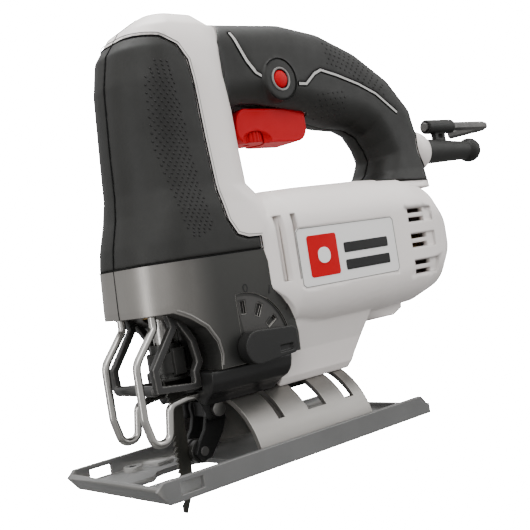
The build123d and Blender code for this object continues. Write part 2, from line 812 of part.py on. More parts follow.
def coil_spring(center, axis, length, radius, wire, turns):
    helix = Helix(pitch=length / turns, height=length, radius=radius)
    start = Plane(origin=helix @ 0, z_dir=helix % 0)
    coil = sweep(start * Circle(wire), helix, is_frenet=True)
    return Plane(origin=center, z_dir=axis) * coil


def switch_body():
    case_block = block(10, 47, -8.8, 8.8, 177.5, 197)
    pushrod = rod((30, 0, 175.0), (30, 0, 177.5), 2.5)
    return case_block + pushrod


# ---- cord gland and key -------------------------------------------------------------------
gland_z = ball_center[2]
gland_end = 210.0


def strain_relief():
    neck = ball_center[0] + ball_radius - 3
    boot = Plane(origin=(neck, 0, gland_z), z_dir=(1, 0, 0)) * Circle(7.8)
    waist = Plane(origin=(gland_end - 9, 0, gland_z - 0.6), z_dir=(1, 0, 0)) * Circle(5.6)
    body = loft([boot, waist], ruled=True)
    body = body + rod((ball_center[0] - 4, 0, gland_z), (neck, 0, gland_z), 7.8)
    body = body + Pos(gland_end - 6.5, 0, gland_z - 0.6) * Sphere(7.6)
    body = body & block(100, gland_end, -20, 20, 100, 180)
    web = block(170, 180, -1.8, 1.8, gland_z + 5, key_z - 3)
    eye = Plane(origin=(175, -5, gland_z + 9), z_dir=(0, 1, 0)) * SlotOverall(4.2, 2.2, 90)
    web = web - extrude(eye, amount=10)
    sleeve = rod((163.5, 0, key_z), (188, 0, key_z), 4.4)
    flats = Plane(origin=(160, 0, key_z), z_dir=(1, 0, 0)) \
        * RegularPolygon((key_flats / 2 + 0.08) / cos(pi / 6), 6)
    body = body + web + sleeve - extrude(flats, amount=40)
    return body - rod((120, 0, gland_z), (230, 0, gland_z), cord_radius)


def hex_key():
    start = 163.8 - 1.5
    path = FilletPolyline((start, 0, key_z), (start + key_long, 0, key_z),
                          (start + key_long, key_short, key_z), radius=7)
    section = Plane(origin=(start, 0, key_z), z_dir=(1, 0, 0)) \
        * RegularPolygon(key_flats / 2 / cos(pi / 6), 6)
    return sweep(section, path)


# ---- shoe ---------------------------------------------------------------------------------
guide_x = (shoe_front + 5.6, shoe_front + 5.6 + guide_bar_width)
guide_z = (shoe_sheet + 0.1, shoe_sheet + 0.1 + guide_bar_height)
screw_spot = (-57.5, 29.3)
screw_radius = 2.0
boss_height = 2.2
arch_inner = arch_radius - arch_sheet
tab_places = (-20.0, 28.0)
tab_y = arch_inner - 5.5
rivet_radius = 2.2


def shoe_plate():
    half = shoe_width / 2
    sole = block(shoe_front, shoe_rear, -half, half, 0, shoe_sheet)
    side = [(shoe_front, 0), (shoe_front - lip_reach, lip_rise), (shoe_front - 1.8, flange_height),
            (shoe_rear - 5.5, flange_height), (shoe_rear, 3.2), (shoe_rear, 0)]
    flange = side_slab(side, half - shoe_sheet, half)
    lip = side_slab([(shoe_front, 0), (shoe_front - lip_reach, lip_rise),
                     (shoe_front - lip_reach + 2.1, lip_rise + 1.6),
                     (shoe_front + 1.2, shoe_sheet)], -half, half)
    rear = block(shoe_rear - shoe_sheet, shoe_rear, -half, half, 0, 5.0)
    body = sole + flange + mirrored(flange) + lip + rear
    f, r = opening_front_half, opening_rear_half
    x0 = shoe_front + 3.5
    hole = [(x0, -f), (-61, -f), (-55, -r + 1), (-50, -r), (-33, -r), (-28.5, -r + 5),
            (-28.5, r - 5), (-33, r), (-50, r), (-55, r - 1), (-61, f), (x0, f)]
    body = body - plan_slab(hole, -1, 4)
    body = body - block(*guide_x, -half - 1, half + 1, *guide_z)
    x, y = screw_spot
    body = body + rod((x, y, 0), (x, y, shoe_sheet + boss_height), 4.6)
    body = body + block(-48, -39, 22, half - shoe_sheet, shoe_sheet, shoe_sheet + 1.6)
    body = body - rod((x, y, -1), (x, y, 9), screw_radius)
    for tab_x in tab_places:
        for y in (-tab_y, tab_y):
            body = body - rod((tab_x, y, -1), (tab_x, y, 9), rivet_radius)
    return body


def saddle_arch():
    arch = ring((arch_front, 0, 0), (arch_rear, 0, 0), arch_radius, arch_inner)
    arch = arch & block(-60, 80, -60, 60, shoe_sheet, 60)
    top_cut = 18.8
    for x0, x1 in ((-13, -9), (clamp_x - clamp_slot_width / 2, clamp_x + clamp_slot_width / 2),
                   (31, 37)):
        arch = arch - block(x0, x1, -60, 60, top_cut, 60)
    for tab_x in tab_places:
        for side in (-1, 1):
            low, high = sorted((side * (tab_y - 5.5), side * (arch_inner + 0.6)))
            tab = block(tab_x - 5.5, tab_x + 5.5, low, high, shoe_sheet, 2 * shoe_sheet)
            arch = arch + tab - rod((tab_x, side * tab_y, 0), (tab_x, side * tab_y, 9), rivet_radius)
    return arch


def shoe_rivets():
    made = []
    for tab_x in tab_places:
        for y in (-tab_y, tab_y):
            shank = rod((tab_x, y, 0), (tab_x, y, 2 * shoe_sheet), rivet_radius)
            made.append(shank + rod((tab_x, y, 2 * shoe_sheet), (tab_x, y, 2 * shoe_sheet + 1.2), 3.8))
    return Compound(made)


plate_outer = arch_inner - moving_gap
plate_inner = plate_outer - 3.0


def clamp_plate():
    body = ring((1.5, 0, 0), (22.5, 0, 0), plate_outer, plate_inner) & block(0, 30, -11, 11, 20, 60)
    return body - rod((clamp_x, 0, 0), (clamp_x, 0, 60), 3.05)


def clamp_screw():
    seat = sqrt(plate_inner ** 2 - 25) - 0.05
    head = rod((clamp_x, 0, seat - 5.5), (clamp_x, 0, seat), 5.0)
    socket = extrude(Plane(origin=(clamp_x, 0, seat - 5.5), z_dir=(0, 0, 1))
                     * RegularPolygon(key_flats / 2 / cos(pi / 6), 6), amount=3)
    return head + rod((clamp_x, 0, seat), (clamp_x, 0, 47), 3.0) - socket


# ---- write every piece --------------------------------------------------------------------
brush_holders, carbon_brushes = brush_parts()
badge_solids = [s for s in badge_room.solids() if s.volume > 50]
pieces = {
    "housing_left": housing_half(-1),
    "housing_right": housing_half(1),
    "nose_overmold_left": nose_skins[-1],
    "nose_overmold_right": nose_skins[1],
    "grip_overmold_left": keep(grip_skins[-1] + lock_boss - lock_hole),
    "grip_overmold_right": grip_skins[1],
    "trim_stripes": Compound(stripes[-1] + stripes[1]),
    "badge_plates": Compound(badge_solids),
    "gear_case_left": case_half(-1),
    "gear_case_right": case_half(1),
    "shoe_support": shoe_support(),
    "housing_screws": bolts(housing_bolts),
    "gear_case_screws": bolts(case_bolts),
    "bearing_plate": bearing_plate(),
    "motor_stator": motor_stator(),
    "stator_windings": stator_windings(),
    "armature_shaft": armature_shaft(),
    "armature_core": armature_core(),
    "armature_windings": armature_windings(),
    "commutator": commutator(),
    "cooling_fan": cooling_fan(),
    "front_bearing": ball_bearing(-11, 11.0, shaft_radius + fit_gap),
    "rear_bearing": ball_bearing(122, 9.5, shaft_radius + fit_gap),
    "brush_holders": brush_holders,
    "carbon_brushes": carbon_brushes,
    "motor_pinion": motor_pinion(),
    "drive_gear": drive_gear(),
    "crank_pin": crank_pin(),
    "balance_weight": balance_weight(),
    "gear_axle": gear_axle(),
    "scotch_yoke": scotch_yoke(),
    "plunger": plunger(),
    "upper_bushing": bushing(upper_bush_z, 18.0),
    "lower_bushing": bushing(lower_bush_z, None),
    "blade_clamp": blade_clamp(),
    "clamp_lever": clamp_lever(),
    "saw_blade": saw_blade(),
    "guide_roller": guide_roller(),
    "roller_pin": roller_pin(),
    "roller_fork": roller_fork(),
    "fork_pin": fork_pin(),
    "wire_guard": wire_guard(),
    "blade_guard": blade_guard(),
    "selector_lever": selector_lever(),
    "selector_shaft": selector_shaft(),
    "trigger": trigger(),
    "trigger_pin": trigger_pin(),
    "trigger_spring": coil_spring((40, 0, 169.0), (0, 0, 1), 7.6, 2.6, 0.5, 4),
    "speed_dial": speed_dial(),
    "lock_button": lock_button(),
    "lock_spring": coil_spring((lock_x, -14.4, lock_z), (0, 1, 0), 4.8, 2.6, 0.45, 4),
    "switch_body": switch_body(),
    "strain_relief": strain_relief(),
    "hex_key": hex_key(),
    "shoe_plate": shoe_plate(),
    "saddle_arch": saddle_arch(),
    "shoe_rivets": shoe_rivets(),
    "clamp_plate": clamp_plate(),
    "clamp_screw": clamp_screw(),
}

for name, shape in pieces.items():
    export_step(shape, f"parts/{name}.step")
print(len(pieces), "pieces written")
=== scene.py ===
import json
import math

import bmesh
import bpy
from mathutils import Matrix, Vector
from mathutils.bvhtree import BVHTree


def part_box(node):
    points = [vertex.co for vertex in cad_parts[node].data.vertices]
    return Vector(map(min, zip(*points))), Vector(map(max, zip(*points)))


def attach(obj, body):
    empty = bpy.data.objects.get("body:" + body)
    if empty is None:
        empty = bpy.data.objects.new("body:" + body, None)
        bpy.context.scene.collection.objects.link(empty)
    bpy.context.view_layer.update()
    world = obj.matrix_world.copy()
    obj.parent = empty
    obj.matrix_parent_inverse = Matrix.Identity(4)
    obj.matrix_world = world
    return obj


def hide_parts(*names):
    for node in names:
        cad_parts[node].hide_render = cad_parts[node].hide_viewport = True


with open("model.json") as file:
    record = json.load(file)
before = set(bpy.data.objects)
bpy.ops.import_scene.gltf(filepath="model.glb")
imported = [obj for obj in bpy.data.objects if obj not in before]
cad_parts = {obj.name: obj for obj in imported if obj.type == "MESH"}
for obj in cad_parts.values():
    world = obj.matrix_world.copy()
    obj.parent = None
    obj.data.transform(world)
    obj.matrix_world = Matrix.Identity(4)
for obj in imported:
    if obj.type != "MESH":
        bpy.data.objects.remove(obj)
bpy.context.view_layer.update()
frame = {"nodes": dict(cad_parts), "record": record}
nodes = frame["nodes"]
mm = 0.001  # every piece below is drawn in millimetres and scaled by this
sideName = {-1: "Left", 1: "Right"}


# materials, all read in Object coordinates


def addNode(material, kind, place, **values):
    node = material.node_tree.nodes.new("ShaderNode" + kind)
    node.location = place
    for name, value in values.items():
        if hasattr(node, name):
            setattr(node, name, value)
        else:
            node.inputs[name.replace("_", " ")].default_value = value
    return node


def noiseOn(material, coords, scale, place, stretch=None, detail=4.0):
    noise = addNode(material, "TexNoise", place, Scale=scale, Detail=detail)
    links = material.node_tree.links
    if stretch:
        mapping = addNode(material, "Mapping", (place[0] - 200, place[1]), Scale=stretch)
        links.new(coords.outputs["Object"], mapping.inputs["Vector"])
        links.new(mapping.outputs["Vector"], noise.inputs["Vector"])
    else:
        links.new(coords.outputs["Object"], noise.inputs["Vector"])
    return noise


def mixOf(material, factor, first, second, place):
    mix = addNode(material, "Mix", place, data_type="RGBA")
    links = material.node_tree.links
    links.new(factor, mix.inputs[0])
    for socket, value in ((mix.inputs[6], first), (mix.inputs[7], second)):
        if isinstance(value, tuple):
            socket.default_value = (*value, 1.0)
        else:
            links.new(value, socket)
    return mix.outputs[2]


def finishOf(name, look):
    material = bpy.data.materials.new(name)
    material.use_nodes = True
    links = material.node_tree.links
    shader = material.node_tree.nodes["Principled BSDF"]
    shader.inputs["Metallic"].default_value = look.get("metallic", 0.0)
    shader.inputs["Coat Weight"].default_value = look.get("coat", 0.0)
    shader.inputs["Coat Roughness"].default_value = 0.3
    shader.inputs["Specular IOR Level"].default_value = look.get("specular", 0.5)
    coords = addNode(material, "TexCoord", (-1400, 0))

    mottle = noiseOn(material, coords, look["mottle"], (-1000, 300), look.get("stretch"))
    spread = addNode(material, "MapRange", (-800, 300))
    spread.inputs["From Min"].default_value = 0.35
    spread.inputs["From Max"].default_value = 0.65
    links.new(mottle.outputs["Fac"], spread.inputs["Value"])
    colour = mixOf(material, spread.outputs["Result"], look["colour"], look["shade"], (-600, 300))

    if "paintedShade" in look:  # painted shade: the colour darkens slowly along one axis
        axis, start, end, shadeTone = look["paintedShade"]
        split = addNode(material, "SeparateXYZ", (-1200, 600))
        links.new(coords.outputs["Object"], split.inputs[0])
        shadeRamp = addNode(material, "MapRange", (-800, 600), interpolation_type="SMOOTHSTEP")
        shadeRamp.inputs["From Min"].default_value = start * mm
        shadeRamp.inputs["From Max"].default_value = end * mm
        links.new(split.outputs[axis], shadeRamp.inputs["Value"])
        colour = mixOf(material, shadeRamp.outputs["Result"], colour, shadeTone, (-400, 500))

    soft = addNode(material, "Bevel", (-1000, -400), samples=6)
    soft.inputs["Radius"].default_value = look.get("round", 0.4) * mm
    if "edge" in look:  # lighter corners, partly rubbed wear and partly painted highlight
        geometry = addNode(material, "NewGeometry", (-1000, 0))
        meet = addNode(material, "VectorMath", (-800, 0), operation="DOT_PRODUCT")
        links.new(soft.outputs["Normal"], meet.inputs[0])
        links.new(geometry.outputs["True Normal"], meet.inputs[1])
        wearAndHighlight = addNode(material, "MapRange", (-600, 0))
        wearAndHighlight.inputs["From Min"].default_value = 0.99
        wearAndHighlight.inputs["From Max"].default_value = 0.86
        links.new(meet.outputs["Value"], wearAndHighlight.inputs["Value"])
        colour = mixOf(material, wearAndHighlight.outputs["Result"], colour, look["edge"], (-300, 200))
    links.new(colour, shader.inputs["Base Color"])

    polish = noiseOn(material, coords, look["mottle"] * 6, (-1000, -100), look.get("stretch"))
    gloss = addNode(material, "MapRange", (-300, -100))
    gloss.inputs["To Min"].default_value, gloss.inputs["To Max"].default_value = look["roughness"]
    links.new(polish.outputs["Fac"], gloss.inputs["Value"])
    links.new(gloss.outputs["Result"], shader.inputs["Roughness"])

    grain = noiseOn(material, coords, look["grain"], (-1000, -700), look.get("stretch"), 2.0)
    bump = addNode(material, "Bump", (-300, -500))
    bump.inputs["Strength"].default_value = look["bump"]
    bump.inputs["Distance"].default_value = look.get("depth", 0.1) * mm
    links.new(grain.outputs["Fac"], bump.inputs["Height"])
    links.new(soft.outputs["Normal"], bump.inputs["Normal"])
    links.new(bump.outputs["Normal"], shader.inputs["Normal"])
    material.diffuse_color = (*look["colour"], 1.0)
    return material


# an edge colour lightens rounded corners: part rubbed wear, part painted highlight
finishes = {
    "creamPlastic": {"colour": (0.80, 0.752, 0.722), "shade": (0.76, 0.712, 0.682), "mottle": 14,
                     "roughness": (0.36, 0.46), "grain": 2600, "bump": 0.08, "round": 1.4,
                     "specular": 0.4},
    "blackRubber": {"colour": (0.0105, 0.0105, 0.0094), "shade": (0.017, 0.017, 0.0155),
                    "mottle": 30, "roughness": (0.48, 0.62), "grain": 2400, "bump": 0.25,
                    "round": 0.6, "specular": 0.28},
    # a darker rubber for the drops: painted shade standing in for the shade of the dimples
    "dropRubberPaintedShade": {"colour": (0.006, 0.006, 0.0055), "shade": (0.009, 0.009, 0.0085), "mottle": 30,
                   "roughness": (0.5, 0.66), "grain": 2400, "bump": 0.2, "round": 0.1,
                   "specular": 0.25},
    "trimLine": {"colour": (0.50, 0.49, 0.47), "shade": (0.44, 0.43, 0.41), "mottle": 40,
                 "roughness": (0.35, 0.45), "grain": 2600, "bump": 0.08, "round": 0.2},
    "seamShadow": {"colour": (0.004, 0.004, 0.004), "shade": (0.008, 0.008, 0.008), "mottle": 90,
                   "roughness": (0.7, 0.9), "grain": 2000, "bump": 0.1, "round": 0.1,
                   "specular": 0.1},
    "rimGrey": {"colour": (0.20, 0.195, 0.185), "shade": (0.16, 0.155, 0.15), "mottle": 50,
                "roughness": (0.4, 0.55), "grain": 2400, "bump": 0.08, "round": 0.2},
    "platePanel": {"colour": (0.80, 0.785, 0.77), "shade": (0.77, 0.755, 0.74), "mottle": 18,
                   "roughness": (0.24, 0.34), "grain": 2200, "bump": 0.05, "round": 0.3,
                   "coat": 0.1},
    "redFilm": {"colour": (0.52, 0.0, 0.006), "shade": (0.48, 0.0, 0.005), "mottle": 30,
                "roughness": (0.3, 0.4), "grain": 2200, "bump": 0.04, "round": 0.15,
                "specular": 0.1},
    "whiteFilm": {"colour": (0.82, 0.81, 0.80), "shade": (0.78, 0.77, 0.76), "mottle": 30,
                  "roughness": (0.3, 0.4), "grain": 2200, "bump": 0.04, "round": 0.15},
    "darkFilm": {"colour": (0.008, 0.008, 0.008), "shade": (0.013, 0.013, 0.013), "mottle": 30,
                 "roughness": (0.35, 0.5), "grain": 2200, "bump": 0.04, "round": 0.15,
                 "specular": 0.25},
    # painted shade: the gear case's colour darkens towards its rear
    "caseMetal": {"colour": (0.27, 0.257, 0.24), "shade": (0.245, 0.233, 0.218), "mottle": 40,
                  "roughness": (0.34, 0.42), "grain": 1800, "bump": 0.1, "round": 0.5,
                  "metallic": 0.8, "paintedShade": (0, -72, -32, (0.050, 0.050, 0.047)),
                  "edge": (0.34, 0.325, 0.305)},
    "caseRim": {"colour": (0.20, 0.192, 0.18), "shade": (0.17, 0.163, 0.155), "mottle": 60,
                "roughness": (0.3, 0.4), "grain": 1800, "bump": 0.1, "round": 0.3,
                "metallic": 0.7},
    "blackPlastic": {"colour": (0.0095, 0.0095, 0.0093), "shade": (0.013, 0.013, 0.0125),
                     "mottle": 30, "roughness": (0.32, 0.45), "grain": 2200, "bump": 0.12,
                     "round": 0.5, "specular": 0.32},
    "guardPlastic": {"colour": (0.016, 0.0155, 0.0145), "shade": (0.022, 0.0215, 0.0205),
                     "mottle": 30, "roughness": (0.28, 0.4), "grain": 2200, "bump": 0.1,
                     "round": 0.8, "edge": (0.26, 0.25, 0.235)},
    "zincSteel": {"colour": (0.36, 0.355, 0.34), "shade": (0.30, 0.295, 0.285), "mottle": 80,
                  "roughness": (0.3, 0.42), "grain": 3000, "bump": 0.08, "round": 0.25,
                  "metallic": 1.0},
    "keySteel": {"colour": (0.13, 0.127, 0.122), "shade": (0.10, 0.098, 0.095), "mottle": 90,
                 "roughness": (0.42, 0.55), "grain": 3000, "bump": 0.1, "round": 0.3,
                 "metallic": 0.7},
    "wireSteel": {"colour": (0.50, 0.485, 0.46), "shade": (0.44, 0.43, 0.41), "mottle": 60,
                  "roughness": (0.2, 0.28), "grain": 2600, "bump": 0.02, "round": 0.2,
                  "metallic": 1.0},
    "satinArch": {"colour": (0.24, 0.23, 0.215), "shade": (0.205, 0.197, 0.185), "mottle": 60,
                  "stretch": (0.15, 1.0, 1.0), "roughness": (0.32, 0.44), "grain": 2000,
                  "bump": 0.1, "round": 0.4, "metallic": 0.9, "edge": (0.5, 0.48, 0.455)},
    "shoeCoat": {"colour": (0.15, 0.15, 0.148), "shade": (0.13, 0.13, 0.128), "mottle": 35,
                 "roughness": (0.44, 0.56), "grain": 2200, "bump": 0.14, "round": 0.7,
                 "metallic": 0.3, "edge": (0.22, 0.215, 0.205)},
    "bladeSteel": {"colour": (0.060, 0.057, 0.048), "shade": (0.04, 0.04, 0.035), "mottle": 150,
                   "stretch": (1.0, 1.0, 0.2), "roughness": (0.35, 0.5), "grain": 2400,
                   "bump": 0.15, "round": 0.1, "metallic": 0.8, "edge": (0.3, 0.29, 0.27)},
    "toolSteel": {"colour": (0.44, 0.43, 0.41), "shade": (0.36, 0.35, 0.335), "mottle": 130,
                  "roughness": (0.22, 0.36), "grain": 2600, "bump": 0.1, "round": 0.2,
                  "metallic": 1.0},
    "clampSteel": {"colour": (0.045, 0.044, 0.041), "shade": (0.03, 0.03, 0.028), "mottle": 80,
                   "roughness": (0.32, 0.45), "grain": 2400, "bump": 0.14, "round": 0.3,
                   "metallic": 0.6, "edge": (0.16, 0.155, 0.148)},
    "stackedSheet": {"colour": (0.2, 0.2, 0.205), "shade": (0.11, 0.11, 0.115), "mottle": 900,
                     "stretch": (1.0, 0.02, 0.02), "roughness": (0.35, 0.55), "grain": 3000,
                     "bump": 0.4, "round": 0.2, "metallic": 0.9},
    "copperWire": {"colour": (0.60, 0.24, 0.09), "shade": (0.42, 0.15, 0.05), "mottle": 700,
                   "stretch": (0.1, 1.0, 1.0), "roughness": (0.25, 0.4), "grain": 1500,
                   "bump": 0.6, "depth": 0.3, "round": 0.3, "metallic": 0.9},
    "bronzeBush": {"colour": (0.5, 0.33, 0.14), "shade": (0.42, 0.27, 0.1), "mottle": 120,
                   "roughness": (0.35, 0.5), "grain": 2600, "bump": 0.25, "round": 0.3,
                   "metallic": 0.9},
    "fanGrey": {"colour": (0.052, 0.05, 0.047), "shade": (0.044, 0.043, 0.04), "mottle": 40,
                "roughness": (0.4, 0.5), "grain": 1800, "bump": 0.1, "round": 0.2,
                "metallic": 0.3},
    "graphite": {"colour": (0.03, 0.03, 0.032), "shade": (0.045, 0.045, 0.047), "mottle": 200,
                 "roughness": (0.4, 0.6), "grain": 2600, "bump": 0.2, "round": 0.2},
    "castAlloy": {"colour": (0.55, 0.55, 0.55), "shade": (0.47, 0.47, 0.47), "mottle": 70,
                  "roughness": (0.35, 0.5), "grain": 1600, "bump": 0.3, "round": 0.4,
                  "metallic": 0.9},
    "redPlastic": {"colour": (0.47, 0.0, 0.006), "shade": (0.42, 0.0, 0.005), "mottle": 25,
                   "roughness": (0.4, 0.5), "grain": 2400, "bump": 0.06, "round": 0.8,
                   "specular": 0.1},
}
paint = {name: finishOf(name, look) for name, look in finishes.items()}
print("finishes", len(paint))

nodeFinish = {
    "creamPlastic": ["housing_left", "housing_right"],
    "blackRubber": ["nose_overmold_left", "nose_overmold_right", "grip_overmold_left",
                    "grip_overmold_right", "strain_relief"],
    "trimLine": ["trim_stripes"],
    "platePanel": ["badge_plates"],
    "caseMetal": ["gear_case_left", "gear_case_right"],
    "blackPlastic": ["shoe_support", "selector_lever", "roller_fork", "switch_body",
                     "cooling_fan"],
    "guardPlastic": ["blade_guard"],
    "zincSteel": ["housing_screws", "gear_case_screws", "trigger_pin", "fork_pin", "shoe_rivets",
                  "clamp_screw", "trigger_spring", "lock_spring", "selector_shaft"],
    "keySteel": ["hex_key", "roller_pin"],
    "wireSteel": ["wire_guard"],
    "satinArch": ["saddle_arch"],
    "shoeCoat": ["shoe_plate"],
    "bladeSteel": ["saw_blade"],
    "toolSteel": ["plunger", "armature_shaft", "motor_pinion", "drive_gear", "crank_pin",
                  "balance_weight", "gear_axle", "scotch_yoke", "front_bearing", "rear_bearing"],
    "clampSteel": ["blade_clamp", "clamp_lever", "guide_roller", "clamp_plate"],
    "stackedSheet": ["motor_stator", "armature_core"],
    "copperWire": ["stator_windings", "armature_windings", "commutator"],
    "bronzeBush": ["upper_bushing", "lower_bushing", "brush_holders"],
    "graphite": ["carbon_brushes"],
    "castAlloy": ["bearing_plate"],
    "redPlastic": ["trigger", "speed_dial", "lock_button"],
}
finishName = {node: name for name, group in nodeFinish.items() for node in group}
bodyOf = {node: body for body, group in frame["record"]["behaviour"]["bodies"].items()
          for node in group}
for node, name in finishName.items():
    nodes[node].data.materials.clear()
    nodes[node].data.materials.append(paint[name])


# shared ways of making a piece


def newPiece(name, shape, finish, body, smoothAngle=35.0):
    mesh = bpy.data.meshes.new(name)
    shape.to_mesh(mesh)
    shape.free()
    mesh.materials.append(paint[finish])
    mesh.shade_smooth()
    mesh.set_sharp_from_angle(angle=math.radians(smoothAngle))
    piece = linked(name, mesh)
    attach(piece, body)
    return piece


def linked(name, data):
    thing = bpy.data.objects.new(name, data)
    bpy.context.scene.collection.objects.link(thing)
    return thing


def carrierOf(shape, name):
    mesh = bpy.data.meshes.new(name)
    shape.to_mesh(mesh)
    shape.free()
    return linked(name, mesh)


def bakedShape(carrier, spares=()):
    mesh = bpy.data.meshes.new_from_object(carrier.evaluated_get(
        bpy.context.evaluated_depsgraph_get()))
    for spare in [carrier, *spares]:
        bpy.data.objects.remove(spare)
    shape = bmesh.new()
    shape.from_mesh(mesh)
    bpy.data.meshes.remove(mesh)
    return shape


def evenNormals(piece):
    even = piece.modifiers.new("even", "WEIGHTED_NORMAL")
    even.mode, even.weight, even.keep_sharp = "FACE_AREA", 50, True


def joinedCopy(node):
    shape = bmesh.new()
    shape.from_mesh(nodes[node].data)
    bmesh.ops.remove_doubles(shape, verts=shape.verts, dist=0.004 * mm)
    bmesh.ops.dissolve_degenerate(shape, edges=shape.edges, dist=0.002 * mm)
    return shape


def softCopy(node, name, smoothAngle=32.0, bevel=0.0, bevelAngle=40.0, flat=0.5):
    shape = joinedCopy(node)
    if flat:
        bmesh.ops.dissolve_limit(shape, angle_limit=math.radians(flat), verts=shape.verts,
                                 edges=shape.edges)
    if bevel:
        sharp = [edge for edge in shape.edges
                 if len(edge.link_faces) == 2 and edge.calc_face_angle() > math.radians(bevelAngle)]
        bmesh.ops.bevel(shape, geom=sharp, offset=bevel * mm, offset_type="OFFSET", segments=2,
                        profile=0.5, affect="EDGES", clamp_overlap=True, material=-1)
    piece = newPiece(name, shape, finishName[node], bodyOf[node], smoothAngle)
    evenNormals(piece)
    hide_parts(node)


def mouldedCopy(node, name, voxel, passes, grow=0.0):
    carrier = carrierOf(joinedCopy(node), name + "Raw")
    cells = carrier.modifiers.new("cells", "REMESH")
    cells.mode, cells.voxel_size, cells.adaptivity = "VOXEL", voxel * mm, 0.0
    shape = bakedShape(carrier)
    for turn in range(passes):
        bmesh.ops.smooth_vert(shape, verts=shape.verts, factor=0.5, use_axis_x=True,
                              use_axis_y=True, use_axis_z=True)
    if grow:
        shape.normal_update()
        for vert in shape.verts:
            vert.co += vert.normal * grow * mm
    surface[node] = BVHTree.FromBMesh(shape)
    piece = newPiece(name, shape, finishName[node], bodyOf[node], 75)
    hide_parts(node)


surface = {}
moulded = {
    "nose_overmold_left": {"name": "noseCoverLeft", "voxel": 0.7, "passes": 6},
    "nose_overmold_right": {"name": "noseCoverRight", "voxel": 0.7, "passes": 6},
    "grip_overmold_left": {"name": "gripCoverLeft", "voxel": 0.7, "passes": 6},
    "grip_overmold_right": {"name": "gripCoverRight", "voxel": 0.7, "passes": 6},
    "wire_guard": {"name": "wireLoops", "voxel": 0.3, "passes": 10, "grow": 0.32},
    "strain_relief": {"name": "cordSleeve", "voxel": 0.35, "passes": 5},
    "selector_lever": {"name": "selectorLever", "voxel": 0.22, "passes": 6},
    "blade_guard": {"name": "innerGuard", "voxel": 0.3, "passes": 5},
    "shoe_support": {"name": "barrel", "voxel": 0.6, "passes": 4},
}
softened = {
    "housing_left": {"name": "shellLeft"}, "housing_right": {"name": "shellRight"},
    "gear_case_left": {"name": "gearCaseLeft", "smoothAngle": 20},
    "gear_case_right": {"name": "gearCaseRight", "smoothAngle": 20},
    "trim_stripes": {"name": "gripLines"}, "badge_plates": {"name": "sidePanels"},
    "hex_key": {"name": "hexKey", "bevel": 0.25},
    "speed_dial": {"name": "speedWheel", "bevel": 0.15},
    "shoe_plate": {"name": "shoe", "flat": 0}, "saddle_arch": {"name": "saddle", "bevel": 0.3},
    "shoe_rivets": {"name": "rivets", "bevel": 0.35},
    "roller_fork": {"name": "rollerFork", "bevel": 0.35},
    "guide_roller": {"name": "guideRoller", "bevel": 0.25},
    "roller_pin": {"name": "rollerPin", "bevel": 0.2},
    "blade_clamp": {"name": "bladeClamp", "bevel": 0.3},
    "clamp_lever": {"name": "clampRing", "bevel": 0.3},
    "clamp_plate": {"name": "archClamp", "bevel": 0.3},
    "clamp_screw": {"name": "archScrew", "bevel": 0.2},
    "housing_screws": {"name": "shellScrews", "bevel": 0.15},
    "gear_case_screws": {"name": "caseScrews", "bevel": 0.15},
}
for node, settings in moulded.items():
    mouldedCopy(node, **settings)
print("moulded", len(moulded))
for node, settings in softened.items():
    softCopy(node, **settings)
print("softened", len(softened))


def surfaceOf(node):
    if node not in surface:
        shape = joinedCopy(node)
        surface[node] = BVHTree.FromBMesh(shape)
        shape.free()
    return surface[node]


# lines where covers meet, drawn as fine rods sunk into the joint


def rodsAlong(name, paths, radius, finish, body, sides=6):
    data = bpy.data.curves.new(name, "CURVE")
    data.dimensions = "3D"
    data.bevel_depth, data.bevel_resolution, data.use_fill_caps = radius * mm, sides // 4, True
    for points, closed in paths:
        spline = data.splines.new("POLY")
        spline.points.add(len(points) - 1)
        for spot, point in zip(spline.points, points):
            spot.co = (*point, 1.0)
        spline.use_cyclic_u = closed
    shape = bakedShape(linked(name + "Line", data))
    bmesh.ops.remove_doubles(shape, verts=shape.verts, dist=0.001 * mm)
    bmesh.ops.recalc_face_normals(shape, faces=shape.faces)
    newPiece(name, shape, finish, body, 60)


def chains(edges, place):
    links = {}
    for edge in edges:
        for vert in edge.verts:
            links.setdefault(vert, []).append(edge)
    left = set(edges)
    paths = []
    while left:
        ends = [v for v, near in links.items() if len([e for e in near if e in left]) == 1]
        vert = min(ends, key=lambda v: v.index) if ends else min(
            (v for e in left for v in e.verts), key=lambda v: v.index)
        start, walk = vert, [vert]
        while True:
            onward = [e for e in links[vert] if e in left]
            if not onward:
                break
            edge = min(onward, key=lambda e: e.index)
            left.discard(edge)
            vert = edge.other_vert(vert)
            walk.append(vert)
        closed = walk[-1] is start and len(walk) > 3
        if closed:
            walk.pop()
        if len(walk) > 1:
            paths.append(([place(v) for v in walk], closed))
    return paths


# which corners of a cover count as its border: how sharp, and how its two faces look
border = {"sharp": 0.7, "wallLean": 0.04, "front": -0.75, "outLean": 0.05, "flat": 0.98,
          "inLean": -0.1}


def borderEdges(shape, side):
    picked, push = [], {}
    for edge in shape.edges:
        if len(edge.link_faces) != 2 or edge.calc_face_angle() < border["sharp"]:
            continue
        normals = [face.normal for face in edge.link_faces]
        walls = [n for n in normals if abs(n.y) < border["wallLean"] and n.x > border["front"]]
        outs = [n for n in normals if n.y * side > border["inLean"]
                and (n.y * side > border["outLean"] or n.x < border["front"]
                     or abs(n.y) > border["flat"])]
        if len(walls) == 1 and outs and walls[0] is not outs[0]:
            picked.append(edge)
            for vert in edge.verts:
                push[vert] = push.get(vert, Vector()) + walls[0]
    return picked, push


def seamEdges(shape):
    picked = []
    for edge in shape.edges:
        if len(edge.link_faces) != 2 or max(abs(v.co.y) for v in edge.verts) > 0.03 * mm:
            continue
        normals = [face.normal for face in edge.link_faces]
        if any(n.x < -0.3 or n.z > 0.3 or n.x > 0.5 for n in normals if abs(n.y) < 0.9):
            picked.append(edge)
    return picked


